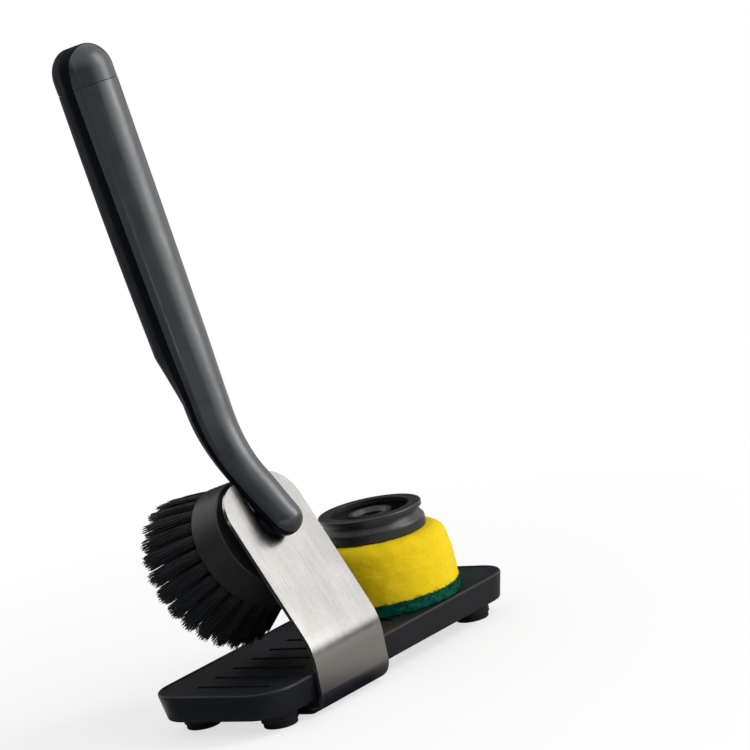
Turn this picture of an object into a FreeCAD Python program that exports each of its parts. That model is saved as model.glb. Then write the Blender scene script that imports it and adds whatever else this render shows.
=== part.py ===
import FreeCAD, Part
import math
import os
import re
import Sketcher

# Dish wand set: a wand with a brush head hangs in a bent steel holder on a drip tray,
# beside a spare sponge head. X runs along the tray, Y to the back, Z up; table at Z = 0.

SIZES = (
    # Drip tray
    ("tray_corner", 20), ("tray_top", 22), ("sponge_room", 0.8), ("sponge_margin", 19.8), ("heads_gap", 13.6),
    ("skirt_drop", 14), ("skirt_draft", 12), ("skirt_wall", 2.4), ("skirt_round", 1),
    ("deck_thickness", 3.4), ("lip_width", 2), ("lip_height", 0.6), ("rim_round", 1.2),
    ("groove_margin", 18), ("groove_start", 17.5), ("groove_end", 32.5), ("groove_width", 3.2),
    ("groove_depth", 1.6), ("groove_shift", -4),
    # Feet and the screws of the holder
    ("leg_radius", 9.4), ("leg_room", 2.12), ("leg_gap", 3.5), ("pad_radius", 8.6), ("pad_height", 3),
    ("pad_round", 0.8), ("boss_radius", 3.8), ("boss_inset", 10.5), ("boss_margin", 24),
    ("screw_radius", 1.3), ("screw_length", 9), ("screw_head_radius", 2.8), ("screw_head_height", 1.5),
    ("pilot_depth", 10), ("part_gap", 0.1),
    # Steel holder
    ("holder_margin", 35), ("holder_width", 57), ("steel_thickness", 2), ("leaf_gap", 1),
    ("leaf_short", 20), ("foot_bend", 10), ("riser_over", 3), ("upper_bend", 33),
    ("plate_angle", 27), ("slot_land", 0.7), ("slot_play", 0.5),
    ("slot_corner", 2), ("seat_depth", 26.1), ("brush_clear", 6.65), ("fit_gap", 0.3),
    # Handle: centre line from the elbow up, and its cross sections
    ("elbow_offset", 6.6), ("nose_reach", 1), ("neck_angle", 39), ("grip_angle", 10.3), ("neck_straight", 24),
    ("bend_radius", 80), ("grip_straight", 171), ("shell_wall", 2.4), ("seam_overrun", 0.6),
    ("elbow_wall", 2),
    ("neck_along", 22), ("neck_half_width", 9.3), ("neck_front", 9.8), ("neck_rear", 7.4),
    ("heel_along", 72), ("heel_half_width", 11.5), ("heel_front", 10.9), ("heel_rear", 11.4),
    ("belly_along", 98), ("belly_half_width", 12.7), ("belly_front", 11.2), ("belly_rear", 18.8),
    ("grip_along", 160), ("grip_half_width", 13.5), ("grip_front", 12.2), ("grip_rear", 19.6),
    ("mouth_half_width", 13.8), ("mouth_front", 13.8), ("mouth_rear", 18.6),
    # End cap, soap tank and feed tube
    ("cap_length", 20.5), ("dome_height", 14), ("dome_share", 0.833), ("tongue_depth", 1.6),
    ("tongue_room", 0.6), ("plug_length", 12),
    ("tank_wall", 1.4), ("tank_offset", 2.2), ("tank_room", 0.5), ("tank_rise", 45),
    ("flange_thickness", 2), ("nipple_radius", 1.6), ("nipple_bore", 1), ("nipple_length", 6),
    ("tube_radius", 2.3), ("seal_cord", 0.9),
    # Head coupling
    ("stub_radius", 6.8), ("stub_start", 2), ("head_gap", 0.6), ("socket_depth", 9.9),
    ("socket_clearance", 0.4), ("channel_radius", 1.8), ("valve_radius", 4.2), ("valve_height", 3),
    ("ring_cord", 0.8), ("ring_along", 13.6),
    # Brush head
    ("bell_depth", 22.6), ("bell_radius", 33.3), ("bell_taper", 3.7), ("shoulder_share", 0.223),
    ("socket_wall", 3.8), ("socket_drop", 1.6), ("edge_round", 0.8),
    ("tuft_length", 29.6), ("tuft_root_radius", 2.2), ("tuft_tip_radius", 3.7), ("root_margin", 1.5),
    ("ring_spacing", 9.3), ("splay_share", 1.284),
    # Sponge head
    ("scourer_thickness", 6), ("foam_height", 30.2), ("foam_radius", 38.2), ("foam_taper", 2.6),
    ("foam_shoulder", 7), ("collar_height", 13), ("collar_set", 11), ("flange_out", 2.1), ("neck_drop", 4.5),
    ("skirt_out", 2.6), ("skirt_height", 5), ("collar_base", 2.6), ("collar_wall", 2.2), ("opening_lip", 1.8),
    ("flange_lip", 2.4), ("lead_in", 2),
)

# Sizes that follow from others: what mates, what must clear, and the tray that carries it all
DERIVED = (
    # Brush head and sponge head
    ("outer_root", "bell_radius - tuft_root_radius - root_margin"),
    ("middle_root", "outer_root - ring_spacing"),
    ("inner_root", "middle_root - ring_spacing"),
    ("brush_reach", "outer_root * splay_share + tuft_tip_radius"),
    ("shoulder_radius", "bell_radius - bell_taper"),
    ("shoulder_depth", "shoulder_radius * shoulder_share"),
    ("foam_top", "foam_radius - foam_taper"),
    ("collar_neck", "foam_top - collar_set"),
    ("collar_flange", "collar_neck + flange_out"),
    ("collar_skirt", "collar_neck + skirt_out"),
    ("collar_opening", "collar_neck - collar_wall - opening_lip"),
    # Tray: wide enough for the sponge, long enough for brush and sponge side by side
    ("tray_width", "2 * (foam_radius + lip_width + sponge_room)"),
    ("brush_side", "holder_margin + holder_width / 2"),
    ("sponge_side", "sponge_margin + foam_radius"),
    ("tray_length", "brush_side + brush_reach + heads_gap + foam_radius + sponge_side"),
    ("holder_offset", "tray_length / 2 - brush_side"),
    ("sponge_offset", "tray_length / 2 - sponge_side"),
    ("skirt_inset", "skirt_drop * tan(skirt_draft * 1 deg) + skirt_wall"),
    ("leg_span_x", "tray_length - 2 * (holder_margin - pad_radius - leg_gap)"),
    ("leg_span_y", "tray_width - 2 * (skirt_inset + leg_radius + leg_room)"),
    ("boss_span_x", "holder_width - 2 * boss_inset"),
    ("boss_span_y", "tray_width - 2 * boss_margin"),
    ("groove_length", "tray_width - 2 * groove_margin"),
    ("groove_run", "tray_length - groove_start - groove_end"),
    # Holder: its leaf under the tray, its slot round the neck, its plate as high as the brush needs
    ("leaf_length", "tray_width - leaf_short"),
    ("riser_length", "tray_top + riser_over - leaf_gap - foot_bend"),
    ("slot_width", "2 * (neck_half_width + slot_play)"),
    ("plate_corner", "(holder_width - slot_width) / 2 - slot_land"),
    ("plate_slope", "sin(plate_angle * 1 deg)"),
    ("plate_rise", "cos(plate_angle * 1 deg)"),
    ("tuft_face", "elbow_offset + steel_thickness + head_gap + bell_depth"),
    ("head_drop", "(tuft_face + tuft_length - elbow_offset) * plate_slope + brush_reach * plate_rise"),
    ("bend_top", "tray_top + riser_over + upper_bend * plate_slope"),
    ("plate_length", "(tray_top + brush_clear + head_drop - bend_top) / plate_rise + seat_depth"),
    # Handle: elbow round the coupling's stub, tank inside the shells
    ("elbow_radius", "stub_radius + elbow_wall"),
    ("tank_radius", "min(belly_half_width; belly_front + tank_offset) - shell_wall - tank_room"),
    ("tank_flange", "mouth_half_width - shell_wall - tank_room"),
    ("tank_length", "grip_straight - tank_rise"),
    ("seal_depth", "plug_length / 2"),
    ("dome_inset", "dome_share * min(mouth_half_width; mouth_front)"),
)

GROOVE_COUNT = 12
OUTER_TUFT_COUNT = 26
MIDDLE_TUFT_COUNT = 18
INNER_TUFT_COUNT = 9
TUFT_SIDES = 8
QUARTER_TURN = 90

doc = FreeCAD.newDocument("dish_wand")
sizes = doc.addObject("Spreadsheet::Sheet", "sizes")
for row, (name, value) in enumerate(SIZES + DERIVED, start=1):
    sizes.set("A%d" % row, name)
    sizes.set("B%d" % row, "=" + value if isinstance(value, str) else str(value))
    sizes.setAlias("B%d" % row, name)
doc.recompute()

pieces = []


def size(name):
    return float(sizes.get(name))


def vector(x, y, z):
    return FreeCAD.Vector(x, y, z)


# Sketch helpers: every length is a formula of sheet names, bound by an expression


def bound(formula):
    return re.sub(r"\b([a-z]+(?:_[a-z]+)+)\b", r"sizes.\1", formula)


def number(formula):
    return float(sizes_probe.evalExpression(bound(formula)))


def new_body(label):
    body = doc.addObject("PartDesign::Body", label)
    body.Label = label
    pieces.append(body)
    return body


def new_sketch(body, name, plane, height="0"):
    sketch = body.newObject("Sketcher::SketchObject", name)
    role = [part for part in body.Origin.OriginFeatures if part.Role == plane]
    sketch.AttachmentSupport = [(role[0], "")]
    sketch.MapMode = "FlatFace"
    if height != "0":
        sketch.setExpression("AttachmentOffset.Base.z", bound(height))
    return sketch


def bind(sketch, constraint, formula):
    index = sketch.addConstraint(constraint)
    sketch.setExpression("Constraints[%d]" % index, bound(formula))


def pin(sketch, shape, end, x, y):
    """Fix one point of a sketch shape at two formulas."""
    if x == "0":
        sketch.addConstraint(Sketcher.Constraint("PointOnObject", shape, end, -2))
    else:
        bind(sketch, Sketcher.Constraint("DistanceX", -1, 1, shape, end, number(x)), x)
    if y == "0":
        sketch.addConstraint(Sketcher.Constraint("PointOnObject", shape, end, -1))
    else:
        bind(sketch, Sketcher.Constraint("DistanceY", -1, 1, shape, end, number(y)), y)


def outline(sketch, corners):
    """Closed outline through corners (x, y) or, where a corner is rounded, (x, y, radius)."""
    points = [vector(number(corner[0]), number(corner[1]), 0) for corner in corners]
    starts, ends, rounds = [], [], []
    for index, corner in enumerate(corners):
        here = points[index]
        if len(corner) == 2:
            starts.append(here)
            ends.append(here)
            rounds.append(None)
            continue
        into = (points[index - 1] - here).normalize()
        away = (points[(index + 1) % len(points)] - here).normalize()
        half = into.getAngle(away) / 2
        radius = number(corner[2])
        ends.append(here + into * (radius / math.tan(half)))
        starts.append(here + away * (radius / math.tan(half)))
        centre = here + (into + away).normalize() * (radius / math.sin(half))
        rounds.append((centre, radius, away.cross(into).z > 0))
    sides = []
    for index, start in enumerate(starts):
        end = ends[(index + 1) % len(ends)]
        sides.append(sketch.addGeometry(Part.LineSegment(start, end)))
    for index, corner in enumerate(corners):
        before, after = sides[index - 1], sides[index]
        if rounds[index] is None:
            sketch.addConstraint(Sketcher.Constraint("Coincident", before, 2, after, 1))
            pin(sketch, after, 1, corner[0], corner[1])
            continue
        centre, radius, left_turn = rounds[index]
        first, last = (ends[index], starts[index]) if left_turn else (starts[index], ends[index])
        begin = math.atan2(first.y - centre.y, first.x - centre.x)
        finish = math.atan2(last.y - centre.y, last.x - centre.x)
        circle = Part.Circle(centre, vector(0, 0, 1), radius)
        arc = sketch.addGeometry(Part.ArcOfCircle(circle, begin, finish))
        entry, leave = (1, 2) if left_turn else (2, 1)
        sketch.addConstraint(Sketcher.Constraint("Tangent", before, 2, arc, entry))
        sketch.addConstraint(Sketcher.Constraint("Tangent", arc, leave, after, 1))
        bind(sketch, Sketcher.Constraint("Radius", arc, radius), corner[2])
        mark = sketch.addGeometry(Part.Point(points[index]), True)
        sketch.addConstraint(Sketcher.Constraint("PointOnObject", mark, 1, before))
        sketch.addConstraint(Sketcher.Constraint("PointOnObject", mark, 1, after))
        pin(sketch, mark, 1, corner[0], corner[1])


def rounded_rectangle(sketch, length, width, radius):
    half, side = "(%s) / 2" % length, "(%s) / 2" % width
    outline(sketch, [(half, side, radius), ("-" + half, side, radius),
                     ("-" + half, "-" + side, radius), (half, "-" + side, radius)])


def circles(sketch, centres, radius):
    for x, y in centres:
        circle = Part.Circle(vector(number(x), number(y), 0), vector(0, 0, 1), number(radius))
        shape = sketch.addGeometry(circle)
        pin(sketch, shape, 3, x, y)
        bind(sketch, Sketcher.Constraint("Radius", shape, number(radius)), radius)


def upright_slot(sketch, x, low, high, radius):
    """Long hole with round ends, its end centres at (x, low) and (x, high)."""
    across, bottom, top, reach = number(x), number(low), number(high), number(radius)
    arcs = []
    for centre, begin in ((bottom, math.pi), (top, 0)):
        circle = Part.Circle(vector(across, centre, 0), vector(0, 0, 1), reach)
        arcs.append(sketch.addGeometry(Part.ArcOfCircle(circle, begin, begin + math.pi)))
    right = Part.LineSegment(vector(across + reach, bottom, 0), vector(across + reach, top, 0))
    left = Part.LineSegment(vector(across - reach, top, 0), vector(across - reach, bottom, 0))
    sides = [sketch.addGeometry(right), sketch.addGeometry(left)]
    for index in (0, 1):
        sketch.addConstraint(Sketcher.Constraint("Tangent", arcs[index], 2, sides[index], 1))
        sketch.addConstraint(Sketcher.Constraint("Tangent", sides[index], 2, arcs[1 - index], 1))
    sketch.addConstraint(Sketcher.Constraint("Equal", arcs[0], arcs[1]))
    bind(sketch, Sketcher.Constraint("Radius", arcs[0], reach), radius)
    pin(sketch, arcs[0], 3, x, low)
    pin(sketch, arcs[1], 3, x, high)


def bent_path(sketch, heading, runs):
    """Path from the sketch origin: straight runs (length) and left-hand bends (radius, angle)."""
    here = vector(0, 0, 0)
    last = None
    for run in runs:
        ahead = vector(math.cos(heading), math.sin(heading), 0)
        if len(run) == 1:
            length = number(run[0])
            there = here + ahead * length
            shape = sketch.addGeometry(Part.LineSegment(here, there))
            bind(sketch, Sketcher.Constraint("Distance", shape, length), run[0])
        else:
            radius, turn = number(run[0]), math.radians(number(run[1]))
            centre = here + vector(-ahead.y, ahead.x, 0) * radius
            begin = heading - math.pi / 2
            circle = Part.Circle(centre, vector(0, 0, 1), radius)
            shape = sketch.addGeometry(Part.ArcOfCircle(circle, begin, begin + turn))
            bind(sketch, Sketcher.Constraint("Radius", shape, radius), run[0])
            bind(sketch, Sketcher.Constraint("Angle", shape, turn), "(%s) * 1 deg" % run[1])
            heading += turn
            there = centre + vector(math.sin(heading), -math.cos(heading), 0) * radius
        if last is None:
            sketch.addConstraint(Sketcher.Constraint("Coincident", shape, 1, -1, 1))
            sketch.addConstraint(Sketcher.Constraint("Vertical", shape))
        else:
            sketch.addConstraint(Sketcher.Constraint("Tangent", last, 2, shape, 1))
        here, last = there, shape


def four_corners(span_x, span_y):
    half_x, half_y = span_x + " / 2", span_y + " / 2"
    return [(sign_x + half_x, sign_y + half_y) for sign_x in ("", "-") for sign_y in ("", "-")]


# Feature helpers


def pad(body, sketch, length, upward=True, draft=None):
    feature = body.newObject("PartDesign::Pad", sketch.Name + "_pad")
    feature.Profile = sketch
    feature.setExpression("Length", bound(length))
    feature.Reversed = not upward
    if draft:
        feature.setExpression("TaperAngle", bound(draft))
    sketch.Visibility = False
    return feature


def pocket(body, sketch, length, upward=False, draft=None):
    feature = body.newObject("PartDesign::Pocket", sketch.Name + "_cut")
    feature.Profile = sketch
    feature.setExpression("Length", bound(length))
    feature.Reversed = upward
    if draft:
        feature.setExpression("TaperAngle", bound(draft))
    sketch.Visibility = False
    return feature


def soften(body, kind, edges, length):
    """Fillet the edges of the body's tip for which edges(edge) is true."""
    doc.recompute()
    tip = body.Tip
    names = ["Edge%d" % index for index, edge in enumerate(tip.Shape.Edges, start=1) if edges(edge)]
    feature = body.newObject("PartDesign::Fillet", kind)
    feature.Base = (tip, names)
    feature.setExpression("Radius", bound(length))
    return feature


def turned(label, corners):
    """Piece turned about its own Z axis from an outline of (radius, height) corners."""
    body = new_body(label)
    sketch = new_sketch(body, label + "_profile", "XZ_Plane")
    outline(sketch, corners)
    feature = body.newObject("PartDesign::Revolution", label + "_turn")
    feature.Profile = sketch
    feature.ReferenceAxis = (sketch, ["V_Axis"])
    feature.Angle = 360
    sketch.Visibility = False
    return body


def swept(label, heading, runs, draw_profile):
    """Piece made by carrying a profile in its XY plane along a path in its YZ plane."""
    body = new_body(label)
    profile = new_sketch(body, label + "_profile", "XY_Plane")
    draw_profile(profile)
    path = new_sketch(body, label + "_path", "YZ_Plane")
    bent_path(path, heading, runs)
    doc.recompute()
    feature = body.newObject("PartDesign::AdditivePipe", label + "_sweep")
    feature.Profile = profile
    feature.Spine = path
    profile.Visibility = False
    path.Visibility = False
    return body


def free_form(label, shape):
    piece = doc.addObject("Part::Feature", label)
    piece.Label = label
    piece.Shape = shape
    pieces.append(piece)
    return piece


def place(piece, base, tilt=0):
    """Set a piece at base, turned by tilt degrees about X."""
    piece.Placement = FreeCAD.Placement(base, FreeCAD.Rotation(vector(1, 0, 0), tilt))


sizes_probe = doc.addObject("App::FeaturePython", "probe")


# Drip tray: drafted skirt under a deck with drain grooves, four legs and four screw bosses


def drip_tray():
    body = new_body("drip_tray")
    rim = new_sketch(body, "tray_rim", "XY_Plane")
    rounded_rectangle(rim, "tray_length", "tray_width", "tray_corner")
    pad(body, rim, "skirt_drop", upward=False, draft="-skirt_draft")

    cavity = new_sketch(body, "tray_cavity", "XY_Plane", "-skirt_drop")
    moved_in_rim(cavity, "skirt_inset")
    pocket(body, cavity, "skirt_drop - deck_thickness", upward=True, draft="skirt_draft")

    lip = new_sketch(body, "tray_lip", "XY_Plane")
    moved_in_rim(lip, "lip_width")
    pocket(body, lip, "lip_height")

    legs = new_sketch(body, "tray_legs", "XY_Plane", "pad_height - tray_top")
    circles(legs, four_corners("leg_span_x", "leg_span_y"), "leg_radius")
    pad(body, legs, "tray_top - pad_height - deck_thickness")

    bosses = new_sketch(body, "tray_bosses", "XY_Plane", "leaf_gap + steel_thickness - tray_top")
    centres = [("%s - holder_offset" % x, y) for x, y in four_corners("boss_span_x", "boss_span_y")]
    circles(bosses, centres, "boss_radius")
    pad(body, bosses, "tray_top - leaf_gap - steel_thickness - deck_thickness")

    pilots = new_sketch(body, "tray_pilots", "XY_Plane", "leaf_gap + steel_thickness - tray_top")
    circles(pilots, centres, "screw_radius + part_gap")
    pocket(body, pilots, "pilot_depth", upward=True)

    soften(body, "skirt_edge", lower_outer_edge, "skirt_round")
    soften(body, "rim_edge", upper_outer_edge, "rim_round")

    groove = new_sketch(body, "tray_groove", "XY_Plane", "-lip_height")
    reach = "(groove_length - groove_width) / 2"
    low, high = "groove_shift - " + reach, "groove_shift + " + reach
    upright_slot(groove, "groove_start - tray_length / 2", low, high, "groove_width / 2")
    cut = pocket(body, groove, "groove_depth")
    row = body.newObject("PartDesign::LinearPattern", "tray_grooves")
    row.Originals = [cut]
    row.Direction = (groove, ["H_Axis"])
    row.setExpression("Length", bound("groove_run"))
    row.Occurrences = GROOVE_COUNT
    body.Tip = row
    place(body, vector(0, 0, size("tray_top")))


def moved_in_rim(sketch, inset):
    """The outline of the tray's rim, moved in on all sides."""
    length, width = "tray_length - 2 * " + inset, "tray_width - 2 * " + inset
    rounded_rectangle(sketch, length, width, "tray_corner - " + inset)


def lower_outer_edge(edge):
    inset = size("skirt_inset") - size("skirt_wall") / 2
    return level(edge, -size("skirt_drop")) and beyond(edge, inset)


def upper_outer_edge(edge):
    return level(edge, 0) and beyond(edge, size("lip_width") / 2)


def level(edge, height):
    box = edge.BoundBox
    return abs(box.ZMin - height) + abs(box.ZMax - height) < size("part_gap")


def beyond(edge, inset):
    """True for an edge of the outer outline: its middle lies outside the outline moved in by inset."""
    middle = edge.valueAt((edge.FirstParameter + edge.LastParameter) / 2)
    radius = size("tray_corner")
    over_x = max(abs(middle.x) - (size("tray_length") / 2 - radius), 0)
    over_y = max(abs(middle.y) - (size("tray_width") / 2 - radius), 0)
    return math.hypot(over_x, over_y) > radius - inset


# Rubber pads under the tray's legs


def foot_pads():
    for side_x, sign_x in (("left", -1), ("right", 1)):
        for side_y, sign_y in (("front", -1), ("back", 1)):
            body = turned("foot_pad_%s_%s" % (side_y, side_x), [
                ("0", "0"), ("pad_radius", "0", "pad_round"),
                ("pad_radius", "pad_height"), ("0", "pad_height")])
            place(body, vector(sign_x * size("leg_span_x") / 2, sign_y * size("leg_span_y") / 2, 0))


# Steel holder: one bent strip, a leaf under the tray, a riser and a leaning plate with an open slot


def steel_holder():
    def strip(sketch):
        outline(sketch, [("-holder_width / 2", "0"), ("holder_width / 2", "0"),
                         ("holder_width / 2", "steel_thickness"), ("-holder_width / 2", "steel_thickness")])

    body = swept("steel_holder", -math.pi / 2, [
        ("plate_length",), ("upper_bend", "plate_angle"), ("riser_length",),
        ("foot_bend", str(QUARTER_TURN)), ("leaf_length",)], strip)
    soften(body, "plate_corners", plate_corner_edge, "plate_corner")

    slot = new_sketch(body, "wand_slot", "XZ_Plane", "-2 * steel_thickness")
    low = "slot_width / 2 - seat_depth - stub_radius - fit_gap"
    upright_slot(slot, "0", low, "slot_width", "slot_width / 2")
    pocket(body, slot, "4 * steel_thickness", upward=True)
    soften(body, "slot_corners", slot_corner_edge, "slot_corner")

    place(body, holder_top(), -size("plate_angle"))
    for centre in screw_centres():
        sink = body.newObject("PartDesign::SubtractiveCone", "screw_sink")
        sink.setExpression("Radius1", bound("screw_head_radius + part_gap"))
        sink.setExpression("Radius2", bound("screw_radius + part_gap"))
        sink.setExpression("Height", bound("screw_head_height"))
        sink.Placement = body.Placement.inverse() * FreeCAD.Placement(centre, FreeCAD.Rotation())
        hole = body.newObject("PartDesign::SubtractiveCylinder", "screw_hole")
        hole.setExpression("Radius", bound("screw_radius + part_gap"))
        hole.setExpression("Height", bound("2 * steel_thickness"))
        hole.Placement = sink.Placement


def screw_centres():
    """Centres of the screw heads, on the underside of the holder's leaf."""
    return [vector(sign_x * size("boss_span_x") / 2 - size("holder_offset"),
                   sign_y * size("boss_span_y") / 2, size("leaf_gap"))
            for sign_x in (-1, 1) for sign_y in (-1, 1)]


def holder_top():
    """Middle of the plate's top edge, on its front face."""
    lean = math.radians(size("plate_angle"))
    bend, plate = size("upper_bend"), size("plate_length")
    front = -size("tray_width") / 2 - size("fit_gap") - size("steel_thickness")
    foot = size("leaf_gap") + size("foot_bend") + size("riser_length")
    y = front + bend * (1 - math.cos(lean)) + plate * math.sin(lean)
    z = foot + bend * math.sin(lean) + plate * math.cos(lean)
    return vector(-size("holder_offset"), y, z)


def plate_corner_edge(edge):
    """The two short edges at the plate's top corners."""
    box = edge.BoundBox
    at_side = abs(abs(box.Center.x) - size("holder_width") / 2) < size("part_gap")
    return at_side and box.ZLength < size("part_gap") and abs(box.ZMax) < size("part_gap")


def slot_corner_edge(edge):
    """The two short edges where the slot opens in the plate's top edge."""
    box = edge.BoundBox
    at_slot = abs(abs(box.Center.x) - size("slot_width") / 2) < size("part_gap")
    short = box.ZLength < size("part_gap") and box.XLength < size("part_gap")
    return at_slot and short and abs(box.ZMax) < size("part_gap")


def holder_screws():
    """Countersunk screws from below through the leaf into the tray's bosses."""
    head, shank = size("screw_head_radius"), size("screw_radius")
    depth = size("screw_head_height")
    up = vector(0, 0, 1)
    solids = []
    for centre in screw_centres():
        cone = Part.makeCone(head, shank, depth, centre, up)
        stem = Part.makeCylinder(shank, size("screw_length"), centre + up * depth, up)
        solids.append(cone.fuse(stem).removeSplitter())
    free_form("holder_screws", Part.makeCompound(solids))


# Handle: two half shells that meet along a centre line bent above the elbow


def elbow_centre():
    """Centre of the rounded elbow: in front of the plate, on the axis of the slot's seat."""
    along = vector(0, -size("elbow_offset"), -size("seat_depth"))
    tilt = FreeCAD.Rotation(vector(1, 0, 0), -size("plate_angle"))
    return holder_top() + tilt.multVec(along)


def centre_line(along):
    """Point of the handle's centre line and its lean, seen from the elbow's centre."""
    start, end = math.radians(size("neck_angle")), math.radians(size("grip_angle"))
    straight, radius = size("neck_straight"), size("bend_radius")
    point = vector(0, math.sin(start), math.cos(start)) * min(along, straight)
    if along <= straight:
        return point, start
    centre = point + vector(0, -math.cos(start), math.sin(start)) * radius
    lean = max(start - (along - straight) / radius, end)
    point = centre + vector(0, math.cos(lean), -math.sin(lean)) * radius
    beyond_bend = along - straight - radius * (start - end)
    if beyond_bend > 0:
        point = point + vector(0, math.sin(end), math.cos(end)) * beyond_bend
    return point, lean


def mouth_along():
    """Length of the centre line from the elbow to the seam of the end cap."""
    turn = math.radians(size("neck_angle") - size("grip_angle"))
    return size("neck_straight") + size("bend_radius") * turn + size("grip_straight")


ARC_POINTS = 9


def outward(along, rear):
    """Direction square to the centre line, to the rear or to the front."""
    lean = centre_line(along)[1]
    side = 1 if rear else -1
    return vector(0, math.cos(lean), -math.sin(lean)) * side


def half_ellipse(along, half_width, depth, rear):
    """Half of a handle section: an arc from one side of the seam to the other."""
    point = centre_line(along)[0]
    out = outward(along, rear) * depth
    across = vector(half_width, 0, 0)
    angles = [math.pi * step / (ARC_POINTS - 1) for step in range(ARC_POINTS)]
    points = [point + across * math.cos(angle) + out * math.sin(angle) for angle in angles]
    curve = Part.BSplineCurve()
    curve.interpolate(Points=points, InitialTangent=out, FinalTangent=-out)
    return curve.toShape()


def half_section(along, half_width, depth, rear, shift):
    """Closed half section whose flat side lies off the centre line by shift."""
    arc = half_ellipse(along, half_width, depth - shift, rear)
    arc.translate(outward(along, rear) * shift)
    ends = arc.Vertexes
    chord = Part.makeLine(ends[1].Point, ends[0].Point)
    return Part.Wire([arc, chord])


def eased(first, last, share):
    return first + (last - first) * share * share * (3 - 2 * share)


NECK_STEPS = 3
BEND_STEPS = 8


def half_handle(rear, inset, shift):
    """One half of the handle's form, smaller by inset all round, its flat side off the seam by shift."""
    side = "rear" if rear else "front"
    elbow = (-size("nose_reach"), size("elbow_radius"), size("elbow_radius"))
    named = {}
    for name in ("neck", "heel", "belly", "grip"):
        named[name] = (size(name + "_along"), size(name + "_half_width"), size("%s_%s" % (name, side)))
    named["mouth"] = (mouth_along(), size("mouth_half_width"), size("mouth_" + side))

    def between(first, last, steps):
        """Stations from first up to, but without, last: even along the line, eased across it."""
        stations = []
        for step in range(steps):
            share = step / steps
            along = first[0] + (last[0] - first[0]) * share
            stations.append((along, eased(first[1], last[1], share), eased(first[2], last[2], share)))
        return stations

    def loft(stations, ruled):
        wires = [half_section(along, width - inset, depth - inset, rear, shift)
                 for along, width, depth in stations]
        return Part.makeLoft(wires, True, ruled)

    neck, heel = named["neck"], named["heel"]
    lower = loft(between(elbow, neck, NECK_STEPS) + between(neck, heel, BEND_STEPS) + [heel], False)
    facet = loft([heel, named["belly"]], True)
    upper = loft([named["belly"], named["grip"], named["mouth"]], False)
    face = Part.Face(half_section(elbow[0], elbow[1] - inset, elbow[2] - inset, rear, shift))
    hinge = centre_line(elbow[0])[0] + outward(elbow[0], rear) * shift
    nose = face.revolve(hinge, vector(1, 0, 0), -QUARTER_TURN if rear else QUARTER_TURN).toNurbs()
    return lower.multiFuse([facet, upper, nose])


def handle_shells():
    wall = size("shell_wall")
    for label, rear in (("handle_front_shell", False), ("handle_rear_shell", True)):
        hollow = half_handle(rear, wall, -size("seam_overrun"))
        shell = half_handle(rear, 0, size("part_gap")).cut(hollow)
        if rear:
            axis = head_axis()
            start = axis * (size("stub_start") - size("part_gap"))
            bore = size("stub_radius") + size("part_gap")
            hole = Part.makeCylinder(bore, size("socket_depth") * 2, start, axis)
            shell = shell.cut(hole)
        place(free_form(label, shell), elbow_centre())


def head_axis():
    """Direction of the head's axis: square to the plate, pointing back and down."""
    lean = math.radians(size("plate_angle"))
    return vector(0, math.cos(lean), -math.sin(lean))


# End cap with its tongue, plug and seal


def mouth_frame():
    """Placement in the mouth of the shells: Z along the grip, moved back to the tank's axis."""
    point, lean = centre_line(mouth_along())
    back = vector(0, math.cos(lean), -math.sin(lean)) * size("tank_offset")
    return elbow_centre() + point + back, -size("grip_angle")


DOME_STEPS = 6
SEAL_MIDDLE = "tank_radius - tank_wall - seal_cord - part_gap"


def cap_dome():
    """The cap's outer form: the mouth's section carried straight up, then drawn in to a small flat top."""
    base = mouth_along() + size("fit_gap")
    spring = base + size("cap_length") - size("dome_height")
    dome = []
    for step in range(DOME_STEPS + 1):
        angle = math.pi / 2 * step / DOME_STEPS
        along = spring + size("dome_height") * math.sin(angle)
        dome.append(cap_section(along, size("dome_inset") * (1 - math.cos(angle))))
    barrel = Part.makeLoft([cap_section(base, 0), cap_section(spring, 0)], True, True)
    return barrel.fuse(Part.makeLoft(dome, True, False))


def cap_section(along, inset):
    width = size("mouth_half_width") - inset
    front = half_ellipse(along, width, size("mouth_front") - inset, False)
    rear = half_ellipse(along, width, size("mouth_rear") - inset, True)
    return Part.Wire([front, rear])


def cap_tongue():
    """Rim under the cap that fills the mouth of the shells and closes the seam."""
    inset = size("shell_wall") + size("tongue_room")
    low, high = mouth_along() - size("tongue_depth"), mouth_along() + 2 * size("fit_gap")
    return Part.makeLoft([cap_section(low, inset), cap_section(high, inset)], True, True)


def end_cap():
    dome = cap_dome().fuse(cap_tongue())
    point, lean = centre_line(mouth_along())
    up = vector(0, math.sin(lean), math.cos(lean))
    back = vector(0, math.cos(lean), -math.sin(lean)) * size("tank_offset")
    radius = plug_radius()
    base = point + back - up * size("plug_length")
    plug = Part.makeCylinder(radius, size("plug_length") + size("cap_length") / 2, base, up)
    middle = number(SEAL_MIDDLE)
    groove = Part.makeTorus(middle, size("seal_cord"), point + back - up * size("seal_depth"), up)
    place(free_form("end_cap", dome.fuse(plug).cut(groove).removeSplitter()), elbow_centre())

    seal = doc.addObject("Part::Torus", "cap_seal")
    seal.Label = "cap_seal"
    seal.setExpression("Radius1", bound(SEAL_MIDDLE))
    seal.setExpression("Radius2", bound("seal_cord - part_gap"))
    pieces.append(seal)
    base, tilt = mouth_frame()
    place(seal, base - up * size("seal_depth"), tilt)


def plug_radius():
    return size("tank_radius") - size("tank_wall") - size("fit_gap")


# Soap tank with its mouth flange and outlet nipple, and the tube down the neck


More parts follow.
